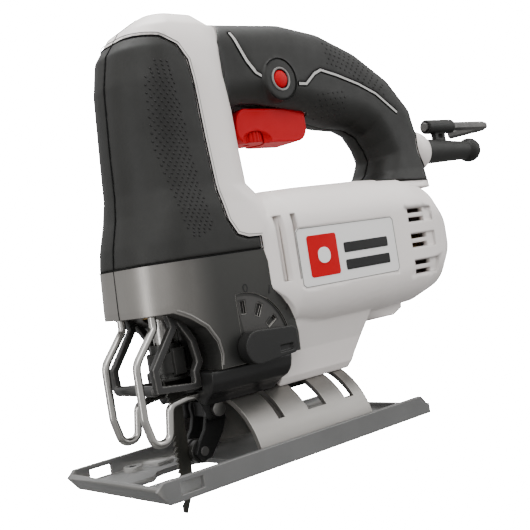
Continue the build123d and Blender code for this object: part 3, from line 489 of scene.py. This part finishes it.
joint = {"line": 0.34, "rim": 0.22, "rimShift": 1.5, "rimSink": 0.12, "rimClear": 0.4,
         "seam": 0.26}
covers = [(cover, side) for cover in ("nose", "grip") for side in (-1, 1)]
for cover, side in covers:
    node = cover + "_overmold_" + sideName[side].lower()
    shape = joinedCopy(node)
    bmesh.ops.dissolve_limit(shape, angle_limit=math.radians(1), verts=shape.verts,
                             edges=shape.edges)
    edges, push = borderEdges(shape, side)
    inward = Vector((0, -side, 0)) * joint["rimSink"] * mm
    rodsAlong(cover + "Gap" + sideName[side], chains(edges, lambda v: v.co.copy()),
              joint["line"], "seamShadow", "root")
    if cover == "nose":
        upper = [edge for edge in edges
                 if min(v.co.z for v in edge.verts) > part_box(node)[0].z + joint["rimClear"] * mm]
        rodsAlong("coverRim" + sideName[side],
                  chains(upper, lambda v: v.co + push[v].normalized() * joint["rimShift"] * mm
                         + inward), joint["rim"], "rimGrey", "root")
    shape.free()
for node, name in (("nose_overmold_left", "noseSeam"), ("gear_case_left", "caseSeam"),
                   ("grip_overmold_left", "gripSeam"), ("housing_left", "shellSeam")):
    shape = joinedCopy(node)
    rodsAlong(name, chains(seamEdges(shape), lambda v: v.co.copy()), joint["seam"],
              "seamShadow", "root")
    shape.free()
print("cover lines")


# grip pattern on the rubber


# rays that look for a surface start this far out beside the tool
rayStart = 60


def layOn(tree, x, z, side, lift=0.0):
    hit, normal = tree.ray_cast(Vector((x * mm, side * rayStart * mm, z * mm)),
                                Vector((0, -side, 0)))[:2]
    if hit is None:
        return None, None
    return hit + normal * lift * mm, normal


def dropsOn(name, node, spots, side):
    tree = surfaceOf(node)
    shape = bmesh.new()
    for x, z, lean in spots:
        hit, normal = layOn(tree, x, z, side)
        if hit is None or abs(normal.y) < 0.25:
            continue
        along = Vector((math.cos(lean), 0, math.sin(lean)))
        along = (along - normal * along.dot(normal)).normalized()
        across = normal.cross(along)
        frameOf = Matrix((along, across, normal)).transposed().to_4x4()
        made = bmesh.ops.create_icosphere(shape, subdivisions=1, radius=1.0)["verts"]
        bmesh.ops.scale(shape, verts=made, vec=Vector(dropLook["size"]) * mm)
        for vert in made:  # the drop narrows towards its tail
            if vert.co.x > 0:
                vert.co.y *= 1 - dropLook["taper"] * vert.co.x / (dropLook["size"][0] * mm)
        bmesh.ops.transform(shape, verts=made, matrix=Matrix.Translation(hit) @ frameOf)
    # the drops take the darker rubber, painted shade of the dimples
    newPiece(name, shape, "dropRubberPaintedShade", "root", 80)


dropLook = {"size": (0.85, 0.5, 0.26), "taper": 0.55, "rowStep": 1.8, "columnStep": 2.9,
            "lean": -0.75, "rowFall": 0.12}
# height, then the field's front and rear edge at that height
noseField = [(186, -45, -38), (178, -50.5, -37), (148, -52, -34.5), (124, -47.5, -33),
             (111, -45.5, -30.5), (106, -42, -38)]


def noseSpots():
    spots = []
    top, foot = noseField[0][0], noseField[-1][0]
    for row in range(int((top - foot) / dropLook["rowStep"]) + 1):
        z = top - row * dropLook["rowStep"]
        for (highZ, highA, highB), (lowZ, lowA, lowB) in zip(noseField, noseField[1:]):
            if lowZ <= z <= highZ:
                part = (highZ - z) / (highZ - lowZ)
                start = highA + (lowA - highA) * part
                end = highB + (lowB - highB) * part
                shift = (row % 2) * dropLook["columnStep"] / 2
                x = start + shift
                while x <= end:
                    spots.append((x, z - (x - start) * dropLook["rowFall"], dropLook["lean"]))
                    x += dropLook["columnStep"]
                break
    return spots


# two fields on the handle: one follows its arched back down to the light line,
# the other is a small block beside the trigger
backField = {"rows": 5, "columns": 15, "start": 68, "end": 112, "columnStep": 3.3, "rowStep": 2.7,
             "crown": (60, 203.5), "arch": 0.0085, "inset": 3.5, "line": (74, 182.5),
             "lineFall": 0.42, "lineGap": 3}
sideField = {"rows": 5, "columns": 6, "start": 58, "top": 172, "columnStep": 3.6, "rowStep": 2.8,
             "climb": 0.3, "lowest": 160}


def gripSpots():
    spots = []
    look = backField
    for row in range(look["rows"]):
        for column in range(look["columns"]):
            x = look["start"] + (column + (row % 2) / 2) * look["columnStep"]
            top = look["crown"][1] - look["arch"] * (x - look["crown"][0]) ** 2
            z = top - look["inset"] - row * look["rowStep"]
            line = look["line"][1] - (x - look["line"][0]) * look["lineFall"]
            if z > line + look["lineGap"] and x < look["end"]:
                spots.append((x, z, dropLook["lean"]))
    look = sideField
    for row in range(look["rows"]):
        for column in range(look["columns"]):
            x = look["start"] + (column + (row % 2) / 2) * look["columnStep"]
            z = look["top"] - row * look["rowStep"] + column * look["climb"]
            if z > look["lowest"]:
                spots.append((x, z, dropLook["lean"]))
    return spots


for side, name in sideName.items():
    dropsOn("noseDrops" + name, "nose_overmold_" + name.lower(), noseSpots(), side)
    dropsOn("gripDrops" + name, "grip_overmold_" + name.lower(), gripSpots(), side)
print("grip pattern")


# marks of the orbit dial, and the plain panel on the motor's side


def connected(vert):
    seen, queue = {vert}, [vert]
    while queue:
        for edge in queue.pop().link_edges:
            for near in edge.verts:
                if near not in seen:
                    seen.add(near)
                    queue.append(near)
    return list(seen)


def roundedBlock(shape, size, corner):
    made = bmesh.ops.create_cube(shape, size=1.0)["verts"]
    bmesh.ops.scale(shape, verts=made, vec=Vector(size) * mm)
    edges = list({edge for vert in made for edge in vert.link_edges})
    rounded = bmesh.ops.bevel(shape, geom=edges, offset=corner * mm, segments=2, profile=0.5,
                              affect="EDGES", material=-1)
    return connected(rounded["faces"][0].verts[0])


def barOn(shape, tree, x, z, lean):
    hit, normal = layOn(tree, x, z, -1)
    if hit is None:
        return
    size = dialMarks["bar"]
    made = roundedBlock(shape, size, min(size) / 4)
    bmesh.ops.transform(shape, verts=made, matrix=Matrix.Translation(
        hit - normal * dialMarks["sink"] * mm) @ Matrix.Rotation(lean, 4, "Y"))


dialMarks = {"ring": (-19.1, 80.3), "ringSize": (1.15, 1.7), "ringLine": 0.3, "ringLift": 0.12,
             "one": (-5.0, 77.9), "oneLean": 0.25, "two": (5.1, 68.7), "twoLean": 0.5,
             "twoGap": 0.75, "bar": (0.84, 0.5, 4.2), "sink": 0.1}


def dialGlyphs():
    tree = surfaceOf("gear_case_left")
    shape = bmesh.new()
    hit, normal = layOn(tree, *dialMarks["ring"], -1)
    wide, tall = dialMarks["ringSize"]
    for grow in (-dialMarks["ringLine"], dialMarks["ringLine"]):
        made = bmesh.ops.create_circle(shape, segments=28, radius=1.0, cap_ends=False)["verts"]
        bmesh.ops.scale(shape, verts=made, vec=((wide + grow) * mm, (tall + grow) * mm, 1))
    ring = bmesh.ops.bridge_loops(shape, edges=shape.edges[:])["faces"]
    bmesh.ops.solidify(shape, geom=ring, thickness=dialMarks["ringLine"] * mm)
    bmesh.ops.transform(shape, verts=shape.verts, matrix=Matrix.Translation(
        hit - Vector((0, dialMarks["ringLift"] * mm, 0))) @ Matrix.Rotation(math.pi / 2, 4, "X"))
    bmesh.ops.recalc_face_normals(shape, faces=shape.faces)
    barOn(shape, tree, *dialMarks["one"], dialMarks["oneLean"])
    x, z = dialMarks["two"]
    for step in (-dialMarks["twoGap"], dialMarks["twoGap"]):
        barOn(shape, tree, x + step, z, dialMarks["twoLean"])
    newPiece("dialMarks", shape, "darkFilm", "root", 40)


def thicken(shape, side, thick):
    bmesh.ops.recalc_face_normals(shape, faces=shape.faces)
    if sum(face.normal.y for face in shape.faces) * side < 0:
        bmesh.ops.reverse_faces(shape, faces=shape.faces)
    bmesh.ops.solidify(shape, geom=shape.faces[:], thickness=thick * mm)
    bmesh.ops.recalc_face_normals(shape, faces=shape.faces)


# the paler floor of the recess beside the selector, left open over its pockets
fanLook = {"centre": (-21.5, 53.3), "radius": 23.6, "start": -3, "rings": 16, "steps": 32,
           "from": -2, "sweep": 102, "depth": 27.0, "slack": 0.3, "lift": 0.05, "thick": 0.04}


def fanFloor():
    tree = surfaceOf("gear_case_left")
    shape = bmesh.new()
    cx, cz = fanLook["centre"]
    rows = []
    for ring in range(fanLook["rings"] + 1):
        row = []
        for step in range(fanLook["steps"] + 1):
            turn = math.radians(fanLook["from"] + fanLook["sweep"] * step / fanLook["steps"])
            reach = fanLook["radius"] * ring / fanLook["rings"]
            x = max(cx + reach * math.cos(turn), cx + fanLook["start"])
            hit, normal = layOn(tree, x, cz + reach * math.sin(turn), -1, fanLook["lift"])
            near = hit and abs(-hit.y / mm - fanLook["depth"]) < fanLook["slack"]
            row.append(shape.verts.new(hit) if near else None)
        rows.append(row)
    for low, high in zip(rows[1:], rows[2:]):
        for k in range(fanLook["steps"]):
            ends = [low[k], low[k + 1], high[k + 1], high[k]]
            if all(ends):
                shape.faces.new(ends)
    loose = [vert for vert in shape.verts if not vert.link_faces]
    bmesh.ops.delete(shape, geom=loose, context="VERTS")
    thicken(shape, -1, fanLook["thick"])
    newPiece("fanFloor", shape, "fanGrey", "root", 40)


# each patch: its box in x and z, finish, corner radius and height above the plate
panelLook = {"redPatch": ((15, 33.5, 79.5, 99.5), "redFilm", 1.4, 0.16),
             "paleDisc": ((20.5, 28.0, 85.7, 93.3), "whiteFilm", 3.4, 0.34),
             "darkBand": ((38, 70, 80.5, 85.5), "darkFilm", 0.8, 0.16),
             "midBand": ((38, 70, 89.0, 94.0), "darkFilm", 0.8, 0.16)}
patchLook = {"step": 4.0, "thick": 0.06}
plateEdge = [(11, 75.5), (75, 75.5), (76.5, 77), (76.5, 102), (75, 103.5), (11, 103.5),
             (9.5, 102), (9.5, 77)]
plateLine = {"centre": (42.75, 89.5), "inset": (0.004, 0.008), "step": 5, "radius": 0.2}


def patchOn(name, tree, side, box, finish, corner, lift):
    x0, x1, z0, z1 = box
    shape = bmesh.new()
    bmesh.ops.create_grid(shape, x_segments=1, y_segments=1, size=0.5)
    for vert in shape.verts:
        vert.co = Vector(((x0 + (vert.co.x + 0.5) * (x1 - x0)) * mm, side * 39 * mm,
                          (z0 + (vert.co.y + 0.5) * (z1 - z0)) * mm))
    bmesh.ops.bevel(shape, geom=shape.verts[:], offset=corner * mm, segments=6, profile=0.5,
                    affect="VERTICES", material=-1)
    for across, low, high in (((1, 0, 0), x0, x1), ((0, 0, 1), z0, z1)):
        spot = low + patchLook["step"]
        while spot < high:
            bmesh.ops.bisect_plane(shape, geom=shape.verts[:] + shape.edges[:] + shape.faces[:],
                                   plane_co=Vector(across) * spot * mm, plane_no=across)
            spot += patchLook["step"]
    for vert in shape.verts:
        hit, normal = layOn(tree, vert.co.x / mm, vert.co.z / mm, side, lift)
        if hit:
            vert.co = hit
    thicken(shape, side, patchLook["thick"])
    newPiece(name, shape, finish, "root", 40)


def sidePanel(side):
    name = sideName[side]
    tree = surfaceOf("badge_plates")
    for part, look in panelLook.items():
        patchOn(part + name, tree, side, *look)
    outline = []
    (midX, midZ), (shiftX, shiftZ) = plateLine["centre"], plateLine["inset"]
    for (x0, z0), (x1, z1) in zip(plateEdge, plateEdge[1:] + plateEdge[:1]):
        steps = max(1, int(math.hypot(x1 - x0, z1 - z0) / plateLine["step"]))
        for k in range(steps):
            x, z = x0 + (x1 - x0) * k / steps, z0 + (z1 - z0) * k / steps
            hit, normal = layOn(tree, x + (midX - x) * shiftX, z + (midZ - z) * shiftZ, side)
            if hit:
                outline.append(hit)
    rodsAlong("plateLine" + name, [(outline, True)], plateLine["radius"], "rimGrey", "root")


# vanes behind the front vents, so that the slots aren't bare holes


vanes = {"at": (4.7, 11.1), "size": (0.9, 6.0, 31.0), "corner": 0.3, "lean": 0.5, "out": 27.6,
         "height": 95.5}


def ventVanes(side):
    shape = bmesh.new()
    for x in vanes["at"]:
        made = roundedBlock(shape, vanes["size"], vanes["corner"])
        bmesh.ops.rotate(shape, verts=made, cent=(0, 0, 0),
                         matrix=Matrix.Rotation(-side * vanes["lean"], 3, "Z"))
        bmesh.ops.translate(shape, verts=made,
                            vec=Vector((x, side * vanes["out"], vanes["height"])) * mm)
    newPiece("ventVanes" + sideName[side], shape, "creamPlastic", "root",
             40)


ventVanes(-1)
ventVanes(1)


# bevelled rim of the clamp bay on the gear case

bayEdge = [(-57.5, 75.6), (-51.2, 72.3), (-43.2, 66.6), (-38.6, 59.4), (-37.4, 53), (-38.6, 47.2)]
bayLook = {"steps": 5, "shift": (0.4, 0.2), "sink": 0.55, "radius": 0.8}


def bayRim(side):
    tree = surfaceOf("gear_case_" + sideName[side].lower())
    points = []
    shiftX, shiftZ = bayLook["shift"]
    for (x0, z0), (x1, z1) in zip(bayEdge, bayEdge[1:]):
        for k in range(bayLook["steps"]):
            part = k / bayLook["steps"]
            hit, normal = layOn(tree, x0 + (x1 - x0) * part + shiftX,
                                z0 + (z1 - z0) * part + shiftZ, side, -bayLook["sink"])
            if hit:
                points.append(hit)
    rodsAlong("bayRim" + sideName[side], [(points, False)], bayLook["radius"], "caseRim",
              "root", 12)


bayRim(-1)
bayRim(1)
dialGlyphs()
fanFloor()
sidePanel(-1)
sidePanel(1)
print("marks and panels")


# lock-on button's ring and crown


def turned(name, profile, place, finish, body):
    shape = bmesh.new()
    ring = [shape.verts.new((radius * mm, 0, height * mm)) for radius, height in profile]
    edges = [shape.edges.new(pair) for pair in zip(ring, ring[1:])]
    bmesh.ops.spin(shape, geom=ring + edges, cent=(0, 0, 0), axis=(0, 0, 1),
                   angle=2 * math.pi, steps=48, use_merge=True)
    bmesh.ops.remove_doubles(shape, verts=shape.verts, dist=0.002 * mm)
    bmesh.ops.recalc_face_normals(shape, faces=shape.faces)
    turn = Vector((0, -1, 0)).to_track_quat("Z", "Y").to_matrix().to_4x4()
    bmesh.ops.transform(shape, verts=shape.verts,
                        matrix=Matrix.Translation(Vector(place) * mm) @ turn)
    return newPiece(name, shape, finish, body, 35)


# profiles as radius and height along the button's own axis
lockLook = {"ring": [(4.95, -0.2), (4.95, 0.5), (5.25, 0.75), (5.75, 0.75), (6.0, 0.4),
                     (6.0, -0.2), (4.95, -0.2)],
            "ringOut": -19.5,
            "crown": [(0, 1.0), (1.6, 0.92), (3.0, 0.62), (4.0, 0.15), (4.55, -0.6), (4.6, -1.4),
                      (4.6, -7.2), (0, -7.2)],
            "crownRise": 1.0}
low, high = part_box("lock_button")
buttonAt = (low + high) / 2 / mm
turned("lockRing", lockLook["ring"], (buttonAt.x, lockLook["ringOut"], buttonAt.z), "rimGrey",
       "root")
crown = turned("lockCrown", lockLook["crown"],
               (buttonAt.x, low.y / mm + lockLook["crownRise"], buttonAt.z), "redPlastic", "lock")
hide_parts("lock_button")
print("lock button")

# the trigger's paddle, with a scoop on each side round the speed wheel

paddle = {"edge": [(6.4, 155.5), (7.2, 163), (11.5, 167), (54, 167), (54, 149.8), (8.0, 149.8)],
          "corners": [2, 3, 2, 1, 7.5, 4.5], "half": 9.4, "roundOver": 2.6,
          "wheelAt": 19.0, "wheelRoom": 9.25, "roomTop": 156.4, "roomDepth": 16.4,
          "scoopAt": (19.0, 9.6, 151.4), "scoop": (9.5, 3.0, 4.3)}


def triggerPaddle():
    shape = bmesh.new()
    outline = [shape.verts.new((x * mm, -paddle["half"] * mm, z * mm)) for x, z in paddle["edge"]]
    shape.faces.new(outline)
    for vert, corner in zip(outline, paddle["corners"]):
        bmesh.ops.bevel(shape, geom=[vert], offset=corner * mm, segments=7, profile=0.5,
                        affect="VERTICES", material=-1)
    drawn = bmesh.ops.extrude_face_region(shape, geom=shape.faces[:])["geom"]
    moved = [item for item in drawn if isinstance(item, bmesh.types.BMVert)]
    bmesh.ops.translate(shape, verts=moved, vec=(0, 2 * paddle["half"] * mm, 0))
    bmesh.ops.recalc_face_normals(shape, faces=shape.faces)
    rims = [edge for edge in shape.edges
            if abs(edge.verts[0].co.y - edge.verts[1].co.y) < 0.01 * mm
            and edge.calc_face_angle() > 1.0]
    bmesh.ops.bevel(shape, geom=rims, offset=paddle["roundOver"] * mm, segments=5, profile=0.5,
                    affect="EDGES", clamp_overlap=True, material=-1)
    carrier = carrierOf(shape, "paddleRaw")
    cutters = []
    room = bmesh.new()
    bmesh.ops.create_cone(room, cap_ends=True, segments=64, radius1=paddle["wheelRoom"] * mm,
                          radius2=paddle["wheelRoom"] * mm, depth=paddle["roomDepth"] * mm)
    middle = paddle["roomTop"] - paddle["roomDepth"] / 2
    bmesh.ops.translate(room, verts=room.verts, vec=(paddle["wheelAt"] * mm, 0, middle * mm))
    cutters.append(carrierOf(room, "wheelRoom"))
    for side in (-1, 1):
        scoop = bmesh.new()
        bmesh.ops.create_uvsphere(scoop, u_segments=48, v_segments=24, radius=1.0)
        bmesh.ops.scale(scoop, verts=scoop.verts, vec=Vector(paddle["scoop"]) * mm)
        x, y, z = paddle["scoopAt"]
        bmesh.ops.translate(scoop, verts=scoop.verts, vec=Vector((x, side * y, z)) * mm)
        cutters.append(carrierOf(scoop, "scoop"))
    for cutter in cutters:
        cut = carrier.modifiers.new(cutter.name, "BOOLEAN")
        cut.operation, cut.solver, cut.object = "DIFFERENCE", "EXACT", cutter
    piece = newPiece("triggerPaddle", bakedShape(carrier, cutters), "redPlastic",
                     bodyOf["trigger"], 35)
    evenNormals(piece)
    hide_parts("trigger")


triggerPaddle()
print("trigger")


# stage, light and camera

stage = {"floorZ": -36.0, "floorSize": 6000, "floorGlow": 30.0, "lens": 61.21, "sensor": 36.0,
         "eye": (-278.115, -345.316, 89.862), "yaw": 40.698, "pitch": -0.094, "roll": -9.058}


def placeCamera():
    yaw, pitch, roll = (math.radians(stage[key]) for key in ("yaw", "pitch", "roll"))
    forward = Vector((math.sin(yaw) * math.cos(pitch), math.cos(yaw) * math.cos(pitch),
                      math.sin(pitch)))
    right = Vector((math.cos(yaw), -math.sin(yaw), 0))
    up = right.cross(forward)
    side = math.cos(roll) * right + math.sin(roll) * up
    top = math.cos(roll) * up - math.sin(roll) * right
    data = bpy.data.cameras.new("camera")
    data.lens, data.sensor_width, data.clip_start = stage["lens"], stage["sensor"], 0.01
    camera = linked("camera", data)
    turn = Matrix((side, top, -forward)).transposed().to_4x4()
    camera.matrix_world = Matrix.Translation(Vector(stage["eye"]) * mm) @ turn
    bpy.context.scene.camera = camera


def softLight(name, place, target, size, power):
    data = bpy.data.lights.new(name, "AREA")
    data.shape, data.size, data.size_y = "RECTANGLE", size[0] * mm, size[1] * mm
    data.energy = power
    light = linked(name, data)
    aim = (Vector(target) - Vector(place)).to_track_quat("-Z", "Y")
    light.matrix_world = Matrix.Translation(Vector(place) * mm) @ aim.to_matrix().to_4x4()


def makeFloor():
    shape = bmesh.new()
    half = stage["floorSize"] / 2 * mm
    bmesh.ops.create_grid(shape, x_segments=8, y_segments=8, size=half)
    bmesh.ops.translate(shape, verts=shape.verts, vec=(0, 0, stage["floorZ"] * mm))
    floor = carrierOf(shape, "floor")
    material = bpy.data.materials.new("floorPaper")
    material.use_nodes = True
    shader = material.node_tree.nodes["Principled BSDF"]
    shader.inputs["Base Color"].default_value = (0.95, 0.95, 0.95, 1.0)
    shader.inputs["Roughness"].default_value = 0.9
    shader.inputs["Emission Color"].default_value = (1.0, 1.0, 1.0, 1.0)
    shader.inputs["Emission Strength"].default_value = stage["floorGlow"]
    floor.data.materials.append(material)
    floor.visible_diffuse = floor.visible_glossy = False


placeCamera()
makeFloor()
softLight("keyLight", (-500, -700, 650), (20, 0, 110), (500, 500), 3.3)
softLight("sideLight", (-900, -150, 180), (0, 0, 90), (160, 600), 2.6)
softLight("rearLight", (650, -500, 420), (60, 0, 110), (500, 500), 2.2)
softLight("topLight", (50, 100, 900), (50, 0, 100), (700, 700), 12.5)


# what the camera sees behind, and how the light grows from below to above
air = {"behind": 25.0, "below": 0.4, "above": 1.6, "low": -0.7, "high": 0.8}


def studioAir():
    world = bpy.data.worlds.new("studio")
    bpy.context.scene.world = world
    world.use_nodes = True
    tree = world.node_tree
    back = tree.nodes["Background"]
    back.inputs["Color"].default_value = (1.0, 1.0, 1.0, 1.0)
    back.inputs["Strength"].default_value = air["behind"]
    glow = tree.nodes.new("ShaderNodeBackground")
    coords = tree.nodes.new("ShaderNodeTexCoord")
    split = tree.nodes.new("ShaderNodeSeparateXYZ")
    rise = tree.nodes.new("ShaderNodeMapRange")
    limits = ("From Min", "From Max", "To Min", "To Max")
    for socket, value in zip(limits, (air["low"], air["high"], air["below"], air["above"])):
        rise.inputs[socket].default_value = value
    path = tree.nodes.new("ShaderNodeLightPath")
    mix = tree.nodes.new("ShaderNodeMixShader")
    tree.links.new(coords.outputs["Generated"], split.inputs[0])
    tree.links.new(split.outputs["Z"], rise.inputs["Value"])
    tree.links.new(rise.outputs["Result"], glow.inputs["Strength"])
    tree.links.new(path.outputs["Is Camera Ray"], mix.inputs[0])
    tree.links.new(glow.outputs[0], mix.inputs[1])
    tree.links.new(back.outputs[0], mix.inputs[2])
    tree.links.new(mix.outputs[0], tree.nodes["World Output"].inputs["Surface"])


studioAir()
print("stage ready")
